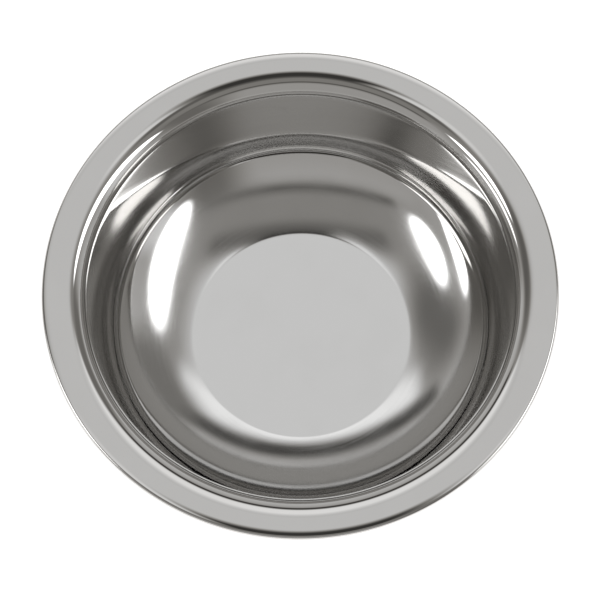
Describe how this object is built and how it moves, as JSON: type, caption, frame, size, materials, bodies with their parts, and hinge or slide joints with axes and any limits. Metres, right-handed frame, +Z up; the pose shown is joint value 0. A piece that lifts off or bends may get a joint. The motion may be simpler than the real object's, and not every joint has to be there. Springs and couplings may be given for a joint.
{
  "type": "hospital bowl",
  "caption": "Round drawn stainless steel bowl with a dished floor, steep wall, wide rim and an edge rolled under.",
  "frame": {"origin": "centre of the underside of the base, where the bowl stands", "axes": "+Z up along the bowl's axis, out of its mouth; X and Y lie in the base plane"},
  "size_m": [0.2, 0.2, 0.0613],
  "materials": {
    "polished_steel": "mirror polished wall and rim with fine turned polishing lines, satin floor"
  },
  "bodies": {
    "root": {"bowl": "polished_steel"}
  },
  "joints": []
}
